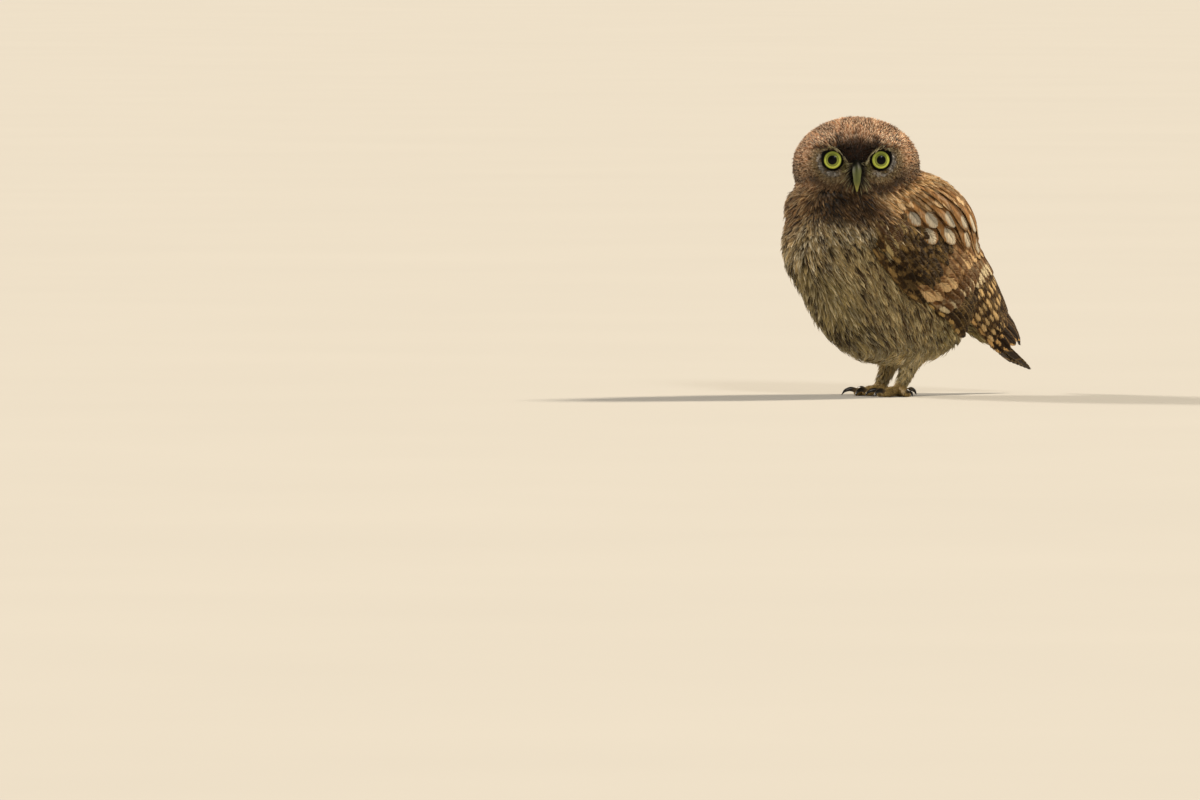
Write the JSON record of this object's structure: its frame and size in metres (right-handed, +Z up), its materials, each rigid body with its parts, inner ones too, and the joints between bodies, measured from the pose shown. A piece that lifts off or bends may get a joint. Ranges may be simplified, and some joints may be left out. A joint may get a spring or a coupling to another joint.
{
  "type": "little owl",
  "caption": "Life-size still model of a young little owl standing upright, its round head turned over its left wing, wings folded along the back and a short tail.",
  "frame": {"origin": "on the floor under the middle of the bird's bounding box", "axes": "+Z up, +Y towards the tail, +X towards the bird's left wing; the breast faces -Y and the head is turned 56 degrees from -Y towards +X"},
  "size_m": [0.0948, 0.1742, 0.1684],
  "materials": {
    "plumage": "soft downy plumage, brown above and streaked buff below",
    "wing_feathers": "smooth chestnut-brown vanes with white and buff spots",
    "leg_feathers": "short whitish-buff feathering",
    "toes": "olive-brown skin with sparse bristles",
    "claws": "dark horn, polished",
    "bill": "olive to pale green-yellow horn, satin",
    "eyes": "yellow-green iris, black pupil, wet gloss"
  },
  "bodies": {
    "root": {"head": "plumage", "neck": "plumage", "torso": "plumage", "eye_left": "eyes", "eye_right": "eyes", "bill_upper": "bill", "bill_lower": "bill", "wing_left": "wing_feathers", "wing_right": "wing_feathers", "tail": "wing_feathers", "leg_left": "leg_feathers", "leg_right": "leg_feathers", "foot_left": "toes", "foot_right": "toes", "claw_left_1": "claws", "claw_left_2": "claws", "claw_left_3": "claws", "claw_left_4": "claws", "claw_right_1": "claws", "claw_right_2": "claws", "claw_right_3": "claws", "claw_right_4": "claws"}
  },
  "joints": []
}
